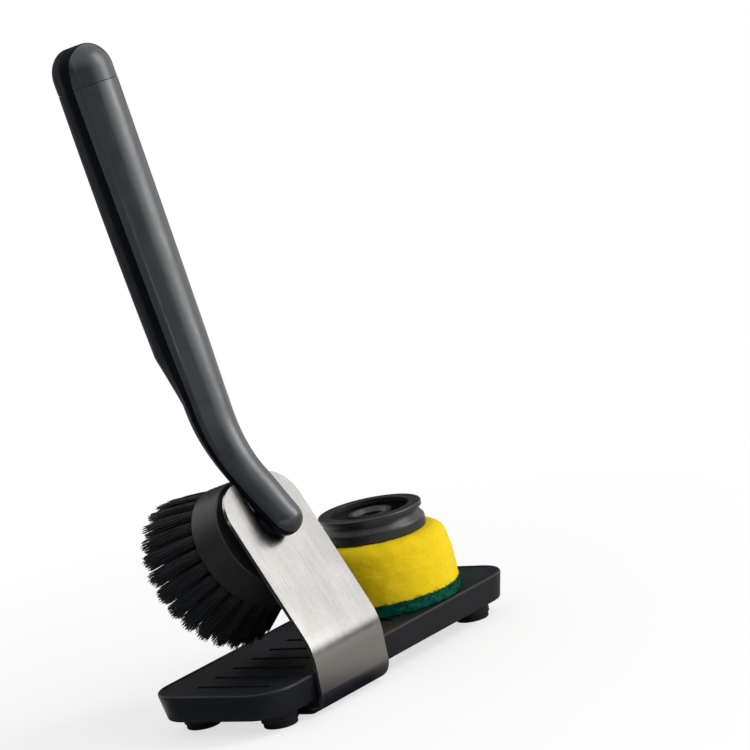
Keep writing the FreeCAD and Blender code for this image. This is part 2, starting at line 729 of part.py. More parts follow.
def soap_tank():
    inner = "tank_radius - tank_wall"
    bottom, top = "-tank_length", "-tongue_depth - fit_gap"
    body = turned("soap_tank", [
        ("nipple_bore", bottom + " - nipple_length"), ("nipple_radius", bottom + " - nipple_length"),
        ("nipple_radius", bottom), ("tank_radius", bottom, "tank_wall"),
        ("tank_radius", top + " - flange_thickness"), ("tank_flange", top + " - flange_thickness"),
        ("tank_flange", top), (inner, top), (inner, bottom + " + tank_wall"),
        ("nipple_bore", bottom + " + tank_wall")])
    base, tilt = mouth_frame()
    place(body, base, tilt)


TUBE_START = "stub_radius + tube_radius"


def feed_tube():
    def ring(sketch):
        circles(sketch, [("0", "0")], "tube_radius")
        circles(sketch, [("0", "0")], "nipple_radius + part_gap")

    turn = "(neck_angle - grip_angle)"
    rise = "grip_straight - tank_length - part_gap"
    body = swept("feed_tube", math.pi / 2, [
        ("neck_straight - (%s)" % TUBE_START,), ("bend_radius + tank_offset", turn), (rise,)], ring)
    lean = math.radians(size("neck_angle"))
    back = vector(0, math.cos(lean), -math.sin(lean)) * size("tank_offset")
    up = vector(0, math.sin(lean), math.cos(lean)) * number(TUBE_START)
    place(body, elbow_centre() + back + up, -size("neck_angle"))


# Head coupling: the stub that lies in the holder's slot, with its seal and slit valve


def head_tilt():
    return -QUARTER_TURN - size("plate_angle")


PLUG_END = "elbow_offset + steel_thickness + head_gap + socket_depth - fit_gap"


def head_coupling():
    groove = "stub_radius - 2 * ring_cord + part_gap"
    body = turned("head_coupling", [
        ("channel_radius", "stub_start"), ("stub_radius", "stub_start"),
        ("stub_radius", "ring_along - ring_cord"), (groove, "ring_along - ring_cord"),
        (groove, "ring_along + ring_cord"), ("stub_radius", "ring_along + ring_cord"),
        ("stub_radius", PLUG_END, "edge_round"), ("valve_radius", PLUG_END),
        ("valve_radius", PLUG_END + " - valve_height"), ("channel_radius", PLUG_END + " - valve_height")])
    place(body, elbow_centre(), head_tilt())

    ring = doc.addObject("Part::Torus", "coupling_seal")
    ring.Label = "coupling_seal"
    ring.setExpression("Radius1", bound("stub_radius - ring_cord + part_gap"))
    ring.setExpression("Radius2", bound("ring_cord - part_gap"))
    pieces.append(ring)
    place(ring, elbow_centre() + head_axis() * size("ring_along"), head_tilt())

    valve = turned("outlet_valve", [
        ("0", PLUG_END + " - valve_height"), ("valve_radius - part_gap", PLUG_END + " - valve_height"),
        ("valve_radius - part_gap", PLUG_END, "edge_round"), ("0", PLUG_END)])
    place(valve, elbow_centre(), head_tilt())


# Brush head: a drum with a raised socket, and three rings of splayed tufts

BELL_TOP = "elbow_offset + steel_thickness + head_gap"


def brush_body():
    rim = "tuft_face"
    shoulder = BELL_TOP + " + shoulder_depth"
    bore = "stub_radius + socket_clearance"
    tube = bore + " + socket_wall"
    body = turned("brush_body", [
        ("0", BELL_TOP + " + socket_depth"), (bore, BELL_TOP + " + socket_depth"),
        (bore, BELL_TOP + " + socket_drop"), (tube, BELL_TOP + " + socket_drop"),
        (tube, shoulder, "edge_round"), ("shoulder_radius", shoulder, "edge_round"),
        ("bell_radius", rim, "edge_round"), ("0", rim)])
    place(body, elbow_centre(), head_tilt())


def ring_directions(count):
    angles = [2 * math.pi * index / count for index in range(count)]
    return [vector(math.cos(angle), math.sin(angle), 0) for angle in angles]


def tuft_outline(centre, radius):
    corners = [centre + out * radius for out in ring_directions(TUFT_SIDES)]
    return Part.makePolygon(corners + corners[:1])


def tuft_ring(label, count, root, tip, reach):
    """Ring of bristle tufts, each a slanted block that widens from the brush face to its tip."""
    face = size("tuft_face")
    solids = []
    for out in ring_directions(count):
        low = tuft_outline(out * root + vector(0, 0, face), size("tuft_root_radius"))
        high = tuft_outline(out * tip + vector(0, 0, face + reach), size("tuft_tip_radius"))
        solids.append(Part.makeLoft([low, high], True, True))
    place(free_form(label, Part.makeCompound(solids)), elbow_centre(), head_tilt())


CROWN_SHARES = {"outer": 1.0, "middle": 1.05, "inner": 1.08}


def brush_tufts():
    counts = {"outer": OUTER_TUFT_COUNT, "middle": MIDDLE_TUFT_COUNT, "inner": INNER_TUFT_COUNT}
    for ring, count in counts.items():
        root = size(ring + "_root")
        reach = size("tuft_length") * CROWN_SHARES[ring]
        tuft_ring("%s_tufts" % ring, count, root, root * size("splay_share"), reach)


# Sponge head: scourer, foam and the collar with the same socket as the brush


def sponge_head():
    top = "scourer_thickness + foam_height"
    base = vector(size("sponge_offset"), 0, size("tray_top") - size("lip_height") + size("part_gap"))
    scourer = turned("scourer_layer", [
        ("0", "0"), ("foam_radius", "0", "edge_round"), ("foam_radius", "scourer_thickness"),
        ("0", "scourer_thickness")])
    foam = turned("sponge_foam", [
        ("0", "scourer_thickness"), ("foam_radius", "scourer_thickness"),
        ("foam_top", top, "foam_shoulder"), ("0", top)])
    rim = top + " + collar_height"
    bore = "stub_radius + socket_clearance"
    collar = turned("sponge_collar", [
        ("0", top), ("collar_skirt", top, "edge_round"),
        ("collar_skirt", top + " + skirt_height", "skirt_height / 2"),
        ("collar_neck", rim + " - neck_drop"), ("collar_neck", rim + " - flange_lip"),
        ("collar_flange", rim + " - flange_lip"), ("collar_flange", rim, "edge_round"),
        ("collar_opening", rim), ("collar_opening", rim + " - flange_lip"),
        ("collar_neck - collar_wall", rim + " - flange_lip"),
        ("collar_neck - collar_wall", top + " + collar_base", "edge_round"),
        (bore + " + socket_wall", top + " + collar_base"), (bore + " + socket_wall", rim + " - socket_drop"),
        (bore + " + lead_in", rim + " - socket_drop"), (bore, rim + " - socket_drop - lead_in"),
        (bore, top + " + collar_base"), ("0", top + " + collar_base")])
    for piece in (scourer, foam, collar):
        place(piece, base)


# Build, centre the set over the origin, check and write


def check(item):
    bad = [word for word in item.State if word in ("Invalid", "Error")]
    if bad:
        raise RuntimeError("%s is %s" % (item.Label, bad))


drip_tray()
foot_pads()
steel_holder()
holder_screws()
handle_shells()
end_cap()
soap_tank()
feed_tube()
head_coupling()
brush_body()
brush_tufts()
sponge_head()
doc.recompute()

boxes = [piece.Shape.optimalBoundingBox() for piece in pieces]
middle_y = (min(box.YMin for box in boxes) + max(box.YMax for box in boxes)) / 2
for piece in pieces:
    piece.Placement.Base = piece.Placement.Base - vector(0, middle_y, 0)
doc.recompute()

os.makedirs("parts", exist_ok=True)
for item in doc.Objects:
    check(item)
for piece in pieces:
    if piece.Shape.isNull() or not piece.Shape.isValid():
        raise RuntimeError("bad shape: " + piece.Label)
    piece.Shape.exportStep("parts/%s.step" % piece.Label)
print("%d pieces written" % len(pieces))
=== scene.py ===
import math
import random

import bmesh
import bpy
from mathutils import Matrix, Vector, noise


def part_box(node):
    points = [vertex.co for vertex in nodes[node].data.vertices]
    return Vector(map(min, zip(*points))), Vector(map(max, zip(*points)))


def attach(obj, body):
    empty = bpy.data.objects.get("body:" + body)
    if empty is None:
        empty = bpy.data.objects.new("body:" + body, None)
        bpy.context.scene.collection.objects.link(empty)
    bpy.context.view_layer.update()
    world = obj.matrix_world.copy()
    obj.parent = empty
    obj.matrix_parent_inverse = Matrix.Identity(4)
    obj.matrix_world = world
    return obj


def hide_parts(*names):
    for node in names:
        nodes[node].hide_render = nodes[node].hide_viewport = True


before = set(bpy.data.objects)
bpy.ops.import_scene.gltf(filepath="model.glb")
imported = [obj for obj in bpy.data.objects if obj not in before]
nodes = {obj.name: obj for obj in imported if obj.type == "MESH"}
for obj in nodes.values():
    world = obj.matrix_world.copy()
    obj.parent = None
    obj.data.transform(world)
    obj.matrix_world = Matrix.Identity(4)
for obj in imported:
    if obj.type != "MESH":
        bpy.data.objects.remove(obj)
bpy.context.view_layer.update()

# Looks of the dish wand set: finishes of the moulded and steel pieces, the bristles, foam and
# scourer that stand for the plain solids of the source, the studio and the camera.

MM = 0.001


# Shader expressions: a socket that takes Python's operators, and a finish that makes any node

NOISE_LOW = 0.3
NOISE_HIGH = 0.7
BEVEL_SAMPLES = 4


class Value:
    """A shader socket; an expression on it adds its Math nodes."""

    def __init__(self, finish, socket):
        self.finish = finish
        self.socket = socket

    def maths(self, operation, first, second):
        return self.finish.node("ShaderNodeMath", {"operation": operation}, {0: first, 1: second})

    def __add__(self, other):
        return self.maths("ADD", self, other)

    def __sub__(self, other):
        return self.maths("SUBTRACT", self, other)

    def __rsub__(self, other):
        return self.maths("SUBTRACT", other, self)

    def __mul__(self, other):
        return self.maths("MULTIPLY", self, other)

    def __pow__(self, other):
        return self.maths("POWER", self, other)

    __radd__ = __add__
    __rmul__ = __mul__


class Finish:
    """The node tree of a material or of the surround, and one method that adds any node."""

    def __init__(self, owner):
        owner.use_nodes = True
        self.owner = owner
        self.tree = owner.node_tree

    def node(self, kind, settings=None, inputs=None, output=0):
        made = self.tree.nodes.new(kind)
        for name, setting in (settings or {}).items():
            setattr(made, name, setting)
        for key, value in (inputs or {}).items():
            self.feed(made.inputs[key], value)
        return Value(self, made.outputs[output])

    def feed(self, socket, value):
        if isinstance(value, Value):
            self.tree.links.new(value.socket, socket)
        else:
            socket.default_value = value

    def set(self, **sockets):
        shader = self.tree.nodes["Principled BSDF"]
        for name, value in sockets.items():
            self.feed(shader.inputs[name.replace("_", " ")], value)

    def where(self):
        return self.node("ShaderNodeTexCoord", output="Object")

    def place(self, stretch=(1, 1, 1)):
        inputs = {"Vector": self.where(), "Scale": stretch}
        return self.node("ShaderNodeMapping", {"vector_type": "POINT"}, inputs)

    def measure(self, operation, *vectors):
        """A number from vectors, such as a distance."""
        inputs = dict(enumerate(vectors))
        return self.node("ShaderNodeVectorMath", {"operation": operation}, inputs, "Value")

    def along(self, direction):
        """How far a point lies along a direction."""
        return self.measure("DOT_PRODUCT", self.where(), direction)

    def noise(self, place, size, detail=3, rough=0.55):
        inputs = {"Vector": place, "Scale": 1 / size, "Detail": detail, "Roughness": rough}
        return self.node("ShaderNodeTexNoise", None, inputs)

    def cells(self, size):
        inputs = {"Vector": self.place(), "Scale": 1 / size, "Randomness": 1.0}
        return self.node("ShaderNodeTexVoronoi", {"feature": "F1"}, inputs)

    def spread(self, value, low, high, to_low=0, to_high=1):
        inputs = {"Value": value, "From Min": low, "From Max": high, "To Min": to_low, "To Max": to_high}
        return self.node("ShaderNodeMapRange", None, inputs)

    def graded(self, noisy, to_low=0, to_high=1):
        """A noise whose usual range is spread over another one."""
        return self.spread(noisy, NOISE_LOW, NOISE_HIGH, to_low, to_high)

    def colours(self, factor, first, second):
        ends = {0: factor, 6: opaque(first), 7: opaque(second)}
        return self.node("ShaderNodeMix", {"data_type": "RGBA"}, ends, 2)

    def bump(self, height, depth, strength, edge=0):
        """Relief from a height, over edges that are rounded by a small radius."""
        inputs = {"Height": height, "Distance": depth, "Strength": strength}
        if edge:
            inputs["Normal"] = self.node("ShaderNodeBevel", {"samples": BEVEL_SAMPLES}, {"Radius": edge})
        self.set(Normal=self.node("ShaderNodeBump", None, inputs))


def opaque(colour):
    return colour if isinstance(colour, Value) else (*colour, 1)


def new_finish(name):
    return Finish(bpy.data.materials.new(name))


# Moulded plastics: fine spark-eroded grain, faint flow clouds, rubbed gloss and softened edges

CLOUD = 14 * MM
GRAIN = 0.35 * MM
GRAIN_DEPTH = 0.03 * MM
RUB = 5 * MM
RUB_STRETCH = (1, 1, 0.35)
RUB_GLOSS = -0.05, 0.06
MOULD_EDGE = 0.4 * MM


def flow_cloud(finish):
    return finish.graded(finish.noise(finish.place(), CLOUD))


def moulded_skin(finish, gloss, grain):
    """Roughness and relief of a moulded surface."""
    rub = finish.noise(finish.place(RUB_STRETCH), RUB, detail=4)
    finish.set(Roughness=finish.graded(rub, *RUB_GLOSS) + gloss)
    finish.bump(finish.noise(finish.place(), GRAIN, detail=2), GRAIN_DEPTH, grain, MOULD_EDGE)


def moulded_plastic(name, tones, gloss, grain, shine):
    finish = new_finish(name)
    finish.set(Base_Color=finish.colours(flow_cloud(finish), *tones), Specular_IOR_Level=shine)
    moulded_skin(finish, gloss, grain)
    return finish.owner


# The wand's two tones: charcoal in front of the side seam, blue-black behind it

CHARCOAL = (0.0195, 0.0222, 0.0250), (0.0245, 0.0276, 0.0308)
BLUE_BLACK = (0.0018, 0.0032, 0.0066), (0.0030, 0.0048, 0.0090)
GRIP_LEAN = math.radians(10.3)
GRIP_BACK = (0, math.cos(GRIP_LEAN), -math.sin(GRIP_LEAN))
GRIP_UP = (0, math.sin(GRIP_LEAN), math.cos(GRIP_LEAN))
SEAM_BACK = -24.15 * MM
CAP_FOOT = 317.7 * MM
CAP_HEIGHT = 20.5 * MM
SEAM_LEAN = 3.2 * MM
SEAM_CURL = 2.6 * MM
CURL_POWER = 6
SEAM_BLUR = 0.2 * MM
FRONT_GLOSS = 0.37
FRONT_SHINE = 0.9
FRONT_COAT_IOR = 1.6
REAR_GLOSS = 0.5
REAR_SHINE = 0.05
SHELL_GRAIN = 0.1


def two_tone_plastic(name):
    """The cap's plastic: both tones of the shells, parted along their seam, which curls over the dome."""
    finish = new_finish(name)
    rise = finish.spread(finish.along(GRIP_UP), CAP_FOOT, CAP_FOOT + CAP_HEIGHT)
    curl = rise * SEAM_LEAN + rise ** CURL_POWER * SEAM_CURL
    behind = finish.along(GRIP_BACK) - SEAM_BACK + curl
    rear = finish.spread(behind, -SEAM_BLUR, SEAM_BLUR)
    cloud = flow_cloud(finish)
    front_tone = finish.colours(cloud, *CHARCOAL)
    rear_tone = finish.colours(cloud, *BLUE_BLACK)
    finish.set(Base_Color=finish.colours(rear, front_tone, rear_tone), Specular_IOR_Level=REAR_SHINE)
    finish.set(Coat_Weight=1 - rear, Coat_Roughness=FRONT_GLOSS, Coat_IOR=FRONT_COAT_IOR)
    moulded_skin(finish, REAR_GLOSS, SHELL_GRAIN)
    return finish.owner


# Rubber: dull black with a little pale dust

DUST = 2.5 * MM
DUST_SHOWS = 0.45, 0.75
DUST_GAIN = 1.7
DUST_LIFT = 0.004
RUBBER_ROUGH = 0.68, 0.85
RUBBER_GRAIN = 0.6 * MM


def rubber(name, tone):
    finish = new_finish(name)
    dust = finish.noise(finish.place(), DUST, detail=4)
    dusty = tuple(channel * DUST_GAIN + DUST_LIFT for channel in tone)
    finish.set(Base_Color=finish.colours(finish.spread(dust, *DUST_SHOWS), tone, dusty))
    finish.set(Roughness=finish.graded(dust, *RUBBER_ROUGH), Specular_IOR_Level=0.3)
    finish.bump(finish.noise(finish.place(), RUBBER_GRAIN), depth=0.05 * MM, strength=0.3)
    return finish.owner


# Brushed steel: fine lines along the strip, faint smears from handling

STEEL = (0.455, 0.444, 0.424), (0.520, 0.509, 0.488)
LINE_STRETCH = (1, 0.012, 0.012)
LINE_SPAN = 0.25, 0.75
LINE_SHEEN = 0.05
SMEAR = 22 * MM
SMEAR_SHOWS = 0.4, 0.7
SMEAR_DULLS = 0.04
STEEL_EDGE = 0.25 * MM


def brushed_steel(name, line, gloss):
    finish = new_finish(name)
    lines = finish.noise(finish.place(LINE_STRETCH), line, detail=4, rough=0.7)
    smear = finish.noise(finish.place(), SMEAR)
    finish.set(Base_Color=finish.colours(finish.graded(lines), *STEEL), Metallic=1.0)
    sheen = finish.spread(lines, *LINE_SPAN, gloss - LINE_SHEEN, gloss + LINE_SHEEN)
    finish.set(Roughness=sheen + finish.spread(smear, *SMEAR_SHOWS, 0, SMEAR_DULLS))
    finish.bump(lines, depth=0.012 * MM, strength=0.2, edge=STEEL_EDGE)
    return finish.owner


# Natural plastic of the hidden tank and tube

HAZE = 9 * MM
HAZE_GAIN = 1.12
HAZE_POLISHES = 0.04
HAZE_DULLS = 0.08
HAZE_GRAIN = 1.5 * MM


def hazy_plastic(name, tone, gloss):
    finish = new_finish(name)
    haze = finish.noise(finish.place(), HAZE)
    paler = tuple(min(channel * HAZE_GAIN, 1) for channel in tone)
    finish.set(Base_Color=finish.colours(haze, tone, paler))
    finish.set(Roughness=finish.graded(haze, gloss - HAZE_POLISHES, gloss + HAZE_DULLS))
    finish.bump(finish.noise(finish.place(), HAZE_GRAIN), depth=0.03 * MM, strength=0.2)
    return finish.owner


# Bristle nylon: roots darkened and tips a touch paler as painted shade deep in the tufts, and filaments
# of differing tone

BRISTLE = (0.0040, 0.0050, 0.0062), (0.0250, 0.0285, 0.0320)
FLECK = 1.2 * MM
SHADE_SHARE = 0.55
ROOT_SHADE_SHARE = 0.35
FLECK_SHARE = 0.3
NYLON_SPAN = 0.25, 0.95
NYLON_ROUGH = 0.45, 0.58


def bristle_nylon():
    finish = new_finish("bristle_nylon")
    shade = finish.node("ShaderNodeAttribute", {"attribute_name": "shade"}, output="Fac")
    along = finish.node("ShaderNodeAttribute", {"attribute_name": "along"}, output="Fac")
    fleck = finish.noise(finish.place(), FLECK)
    # the along share darkens the roots and pales the tips: painted shade deep in the tufts
    mixed = shade * SHADE_SHARE + along * ROOT_SHADE_SHARE + fleck * FLECK_SHARE
    finish.set(Base_Color=finish.colours(finish.spread(mixed, *NYLON_SPAN), *BRISTLE))
    finish.set(Roughness=finish.graded(fleck, *NYLON_ROUGH), Specular_IOR_Level=0.3)
    finish.bump(fleck, depth=0.02 * MM, strength=0.2)
    return finish.owner


# Foam: open and yellow, with pores and a few larger pits, darker inside them as painted shade

FOAM = (0.74, 0.520, 0.004), (0.79, 0.580, 0.010)
FOAM_PORE_SHADE = (0.66, 0.44, 0.002)
FOAM_CLOUD = 17 * MM
PORE = 0.8 * MM
PORE_WALL = 0.1, 0.5
PIT = 2.6 * MM
PIT_WALL = 0.08, 0.28
PIT_SHADE = 0.5
FOAM_ROUGH = 0.95, 0.85


def yellow_foam():
    finish = new_finish("yellow_foam")
    pores = finish.spread(finish.cells(PORE), *PORE_WALL)
    pits = finish.spread(finish.cells(PIT), *PIT_WALL, PIT_SHADE)
    walls = pores * pits
    cloud = finish.noise(finish.place(), FOAM_CLOUD)
    body = finish.colours(finish.graded(cloud), *FOAM)
    # the pores and pits darken the yellow: painted shade in the hollows
    finish.set(Base_Color=finish.colours(walls, FOAM_PORE_SHADE, body), Specular_IOR_Level=0.15)
    finish.set(Roughness=finish.spread(walls, 0, 1, *FOAM_ROUGH))
    finish.bump(walls, depth=0.3 * MM, strength=0.2)
    return finish.owner


# Scouring fleece: green fibres that lie flat, with knots

FLEECE = (0.0003, 0.030, 0.019), (0.003, 0.160, 0.092)
FIBRE = 1.1 * MM
FIBRE_STRETCH = (1, 1, 3)
KNOT = 4 * MM
KNOT_SHARE = 0.5
FLEECE_SPAN = 0.55, 0.95
FLEECE_ROUGH = 0.6, 0.85


def scouring_fleece():
    finish = new_finish("scouring_fleece")
    fibres = finish.noise(finish.place(FIBRE_STRETCH), FIBRE, detail=5, rough=0.7)
    knots = finish.noise(finish.place(), KNOT, detail=2)
    mask = finish.spread(fibres + knots * KNOT_SHARE, *FLEECE_SPAN)
    finish.set(Base_Color=finish.colours(mask, *FLEECE), Specular_IOR_Level=0.1)
    finish.set(Roughness=finish.graded(fibres, *FLEECE_ROUGH))
    finish.bump(fibres, depth=0.6 * MM, strength=0.7)
    return finish.owner


# Finishes of the pieces that keep their own shape

TRAY_BLACK = (0.0085, 0.0098, 0.0120), (0.0110, 0.0126, 0.0152)
HEAD_BLACK = (0.0140, 0.0142, 0.0150), (0.0180, 0.0183, 0.0192)
PAD_BLACK = (0.006, 0.006, 0.007)
SEAL_BLACK = (0.010, 0.010, 0.011)
TANK_SMOKE = (0.055, 0.060, 0.064)
TUBE_MILK = (0.30, 0.30, 0.28)


def dress(material, *names):
    for name in names:
        slots = nodes[name].data.materials
        slots.clear()
        slots.append(material)


tray_plastic = moulded_plastic("tray_plastic", TRAY_BLACK, gloss=0.40, grain=0.4, shine=0.25)
dress(tray_plastic, "drip_tray")
dress(rubber("foot_rubber", PAD_BLACK), "foot_pad_front_left", "foot_pad_front_right",
      "foot_pad_back_left", "foot_pad_back_right")
dress(brushed_steel("holder_steel", line=0.25 * MM, gloss=0.20), "steel_holder")
dress(brushed_steel("screw_steel", line=0.4 * MM, gloss=0.32), "holder_screws")
front_plastic = moulded_plastic("front_shell_plastic", CHARCOAL, FRONT_GLOSS, SHELL_GRAIN, FRONT_SHINE)
dress(front_plastic, "handle_front_shell")
rear_plastic = moulded_plastic("rear_shell_plastic", BLUE_BLACK, REAR_GLOSS, SHELL_GRAIN, REAR_SHINE)
dress(rear_plastic, "handle_rear_shell")
dress(two_tone_plastic("cap_plastic"), "end_cap")
dress(hazy_plastic("tank_plastic", TANK_SMOKE, gloss=0.3), "soap_tank")
dress(hazy_plastic("tube_silicone", TUBE_MILK, gloss=0.45), "feed_tube")
seal_rubber = rubber("seal_rubber", SEAL_BLACK)
dress(seal_rubber, "cap_seal", "coupling_seal", "outlet_valve")
head_plastic = moulded_plastic("head_plastic", HEAD_BLACK, gloss=0.38, grain=0.4, shine=0.5)
dress(head_plastic, "head_coupling", "brush_body", "sponge_collar")


# New pieces


def linked(form, name, material):
    """Make the shape an object of the scene."""
    mesh = bpy.data.meshes.new(name)
    form.to_mesh(mesh)
    form.free()
    mesh.materials.append(material)
    made = bpy.data.objects.new(name, mesh)
    bpy.context.scene.collection.objects.link(made)
    return made


def piece_from(form, name, material, body):
    """Make the shape a smooth piece that rides on a body."""
    piece = linked(form, name, material)
    faces = piece.data.polygons
    faces.foreach_set("use_smooth", [True] * len(faces))
    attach(piece, body)
    return piece


# Cap seal: a thin flat dark lip under the cap that fills the seam's gap, a dark sheet as painted shade
# for the dark line of its seam

LIP_DEPTH = 0.24 * MM
LIP_SHRINK = 0.975
FOOT_NEAR = 0.02 * MM
LOOKS_DOWN = -0.99
SAME_POINT = 0.001 * MM


def foot_faces(form):
    """The faces of the cap that look down onto the shells."""
    up = Vector(GRIP_UP)
    return [face for face in form.faces
            if face.normal.dot(up) < LOOKS_DOWN
            and abs(face.calc_center_median().dot(up) - CAP_FOOT) < FOOT_NEAR]


def middle_of(corners):
    return sum((corner.co for corner in corners), Vector()) / len(corners)


def new_corners(grown):
    return [item for item in grown["geom"] if isinstance(item, bmesh.types.BMVert)]


def seam_shade_lip():
    form = bmesh.new()
    form.from_mesh(nodes["end_cap"].data)
    bmesh.ops.remove_doubles(form, verts=form.verts, dist=SAME_POINT)
    foot = foot_faces(form)
    bmesh.ops.delete(form, geom=[face for face in form.faces if face not in foot], context="FACES")
    shrink = Vector((LIP_SHRINK, LIP_SHRINK, LIP_SHRINK))
    bmesh.ops.scale(form, verts=form.verts, vec=shrink, space=Matrix.Translation(-middle_of(form.verts)))
    grown = bmesh.ops.extrude_face_region(form, geom=list(form.faces), use_keep_orig=True)
    bmesh.ops.translate(form, verts=new_corners(grown), vec=Vector(GRIP_UP) * -LIP_DEPTH)
    bmesh.ops.recalc_face_normals(form, faces=form.faces)
    # the dark lip stands in the seam as painted shade
    piece_from(form, "seam_shade_lip", seal_rubber, "cap")


seam_shade_lip()


# Bristle tufts: bundles of nylon filaments on the axis of the brush head

PLATE_LEAN = math.radians(27)
ELBOW = Vector((-44, -29.23, 93.68)) * MM
HEAD = Matrix.Translation(ELBOW) @ Matrix.Rotation(-math.pi / 2 - PLATE_LEAN, 4, "X")
TUFT_FACE = 31.8 * MM
TUFT_REACH = 29.6 * MM
TUFT_ROOT = 2.7 * MM
TUFT_TIP = 4.3 * MM
TUFT_SPLAY = 1.284
TUFT_KINDS = 5
TUFT_TONE = 0.7
TIP_WANDER = 0.07
TRIM_RANGE = -0.9, 0.3
FILAMENT = 0.25 * MM
FILAMENT_SIDES = 5
FILAMENT_STEPS = 3
FILAMENT_POINT = 0.7
FILAMENT_TONE = 0.3
BOW_OUT = 0.4
BOW_VARIES = 0.25
BUNDLE_RINGS = 6
BUNDLE_RIM = 0.4
FIRST_RING = 6
nylon = bristle_nylon()
draw = random.Random(7)


def bundle_places():
    """Places of the filaments in a tuft, as shares of its radius: rings round a middle one."""
    places = [(0.0, 0.0)]
    for ring in range(1, BUNDLE_RINGS + 1):
        count = FIRST_RING * ring
        for index in range(count):
            places.append((ring / (BUNDLE_RINGS + BUNDLE_RIM), 2 * math.pi * index / count))
    return places


def tuft(root, reach):
    """One tuft beside the head's axis, splayed from root to tip."""
    form = bmesh.new()
    shade = form.verts.layers.float.new("shade")
    along = form.verts.layers.float.new("along")
    tone = draw.random()
    turn = draw.uniform(0, math.pi)
    for share, angle in bundle_places():
        spot = Vector((math.cos(angle + turn), math.sin(angle + turn), 0)) * share
        foot = Vector((root, 0, TUFT_FACE)) + spot * TUFT_ROOT
        wander = Vector((draw.gauss(0, TIP_WANDER), draw.gauss(0, TIP_WANDER), 0)) * TUFT_TIP
        trim = draw.uniform(*TRIM_RANGE) * MM
        head = Vector((root * TUFT_SPLAY, 0, TUFT_FACE + reach + trim)) + spot * TUFT_TIP + wander
        own_tone = tone * TUFT_TONE + draw.random() * FILAMENT_TONE
        filament(form, foot, head, shade, along, own_tone)
    return form


def filament(form, foot, head, shade, along, tone):
    """One filament: a small ring carried from foot to head in steps, on a bow that peaks halfway."""
    ring = bmesh.ops.create_circle(form, cap_ends=True, segments=FILAMENT_SIDES, radius=FILAMENT,
                                   matrix=Matrix.Translation(foot))["verts"]
    mark(ring, shade, tone, along, 0)
    bow = Vector((draw.gauss(BOW_OUT, BOW_VARIES), draw.gauss(0, BOW_VARIES), 0)) * MM
    for step in range(1, FILAMENT_STEPS + 1):
        share = step / FILAMENT_STEPS
        centre = foot.lerp(head, share) + bow * (4 * share * (1 - share))
        end = [face for face in ring[0].link_faces if all(corner in face.verts for corner in ring)]
        grown = bmesh.ops.extrude_face_region(form, geom=end)
        if step > 1:
            bmesh.ops.delete(form, geom=end, context="FACES_ONLY")
        ring = new_corners(grown)
        bmesh.ops.translate(form, verts=ring, vec=centre - middle_of(ring))
        mark(ring, shade, tone, along, share)
    narrow = (FILAMENT_POINT, FILAMENT_POINT, 1)
    bmesh.ops.scale(form, verts=ring, vec=narrow, space=Matrix.Translation(-centre))


def mark(ring, shade, tone, along, share):
    for corner in ring:
        corner[shade] = tone
        corner[along] = share


def tuft_kinds(root, reach):
    """A few tufts that differ, as meshes."""
    kinds = []
    for _ in range(TUFT_KINDS):
        form = tuft(root, reach)
        kinds.append(bpy.data.meshes.new("tuft_kind"))
        form.to_mesh(kinds[-1])
        form.free()
    return kinds


def tuft_ring(name, count, root, crown):
    """A ring of tufts about the head's axis."""
    form = bmesh.new()
    kinds = tuft_kinds(root, TUFT_REACH * crown)
    for index in range(count):
        placed = len(form.verts)
        form.from_mesh(draw.choice(kinds))
        form.verts.ensure_lookup_table()
        stand = HEAD @ Matrix.Rotation(2 * math.pi * index / count, 4, "Z")
        bmesh.ops.transform(form, matrix=stand, verts=form.verts[placed:])
    for kind in kinds:
        bpy.data.meshes.remove(kind)
    bmesh.ops.recalc_face_normals(form, faces=form.faces)
    piece = piece_from(form, name + "_bristles", nylon, "brush_head")
    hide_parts(name + "_tufts")


tuft_ring("outer", count=26, root=29.6 * MM, crown=1.0)
tuft_ring("middle", count=18, root=20.3 * MM, crown=1.05)
tuft_ring("inner", count=9, root=11.0 * MM, crown=1.08)


# Sponge: foam with a soft shoulder, and a scourer with a frayed edge

foam_low, foam_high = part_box("sponge_foam")
SPONGE = (foam_low + foam_high) / 2
FOAM_RADIUS = (foam_high.x - foam_low.x) / 2
FOAM_TOP = 35.6 * MM
FOAM_SHOULDER = 7 * MM
FOAM_SWELL = 0.6 * MM
SPONGE_EDGE = 0.8 * MM
SPONGE_SIDES = 160
SCOURER_INSET = 0.3 * MM
RIM_NEAR = 0.01 * MM
FLAT = 0.9
WALL_LEAST = 2 * MM
SIDE_FRAYS = 700
RIM_FRAYS = 700
FRAY_LENGTH = 1.6, 4.2
FRAY_SUNK = -0.4 * MM
FRAY_SLANT = 0.6
FRAY_LIFT = 0.16
FRAY_FOOT = 0.16 * MM
FRAY_TIP = 0.09 * MM
FRAY_SIDES = 4


def disc(low, high, wide, narrow):
    """Upright round block about the sponge's axis."""
    form = bmesh.new()
    middle = Matrix.Translation((SPONGE.x, SPONGE.y, (low + high) / 2))
    bmesh.ops.create_cone(form, cap_ends=True, cap_tris=False, segments=SPONGE_SIDES, radius1=wide,
                          radius2=narrow, depth=high - low, matrix=middle)
    return form


def rim_edges(form, height):
    """Edges of the ring at a height."""
    return [edge for edge in form.edges
            if all(abs(corner.co.z - height) < RIM_NEAR for corner in edge.verts)
            and not all(abs(face.normal.z) > FLAT for face in edge.link_faces)]


def upright_edges(form, least):
    return [edge for edge in form.edges if abs(edge.verts[0].co.z - edge.verts[1].co.z) > least]


def round_rim(form, height, radius, steps):
    bmesh.ops.bevel(form, geom=rim_edges(form, height), offset=radius, offset_type="OFFSET",
                    segments=steps, profile=0.5, affect="EDGES", material=-1)


def divide_side(form, cuts):
    bmesh.ops.subdivide_edges(form, edges=upright_edges(form, WALL_LEAST), cuts=cuts, use_grid_fill=True)


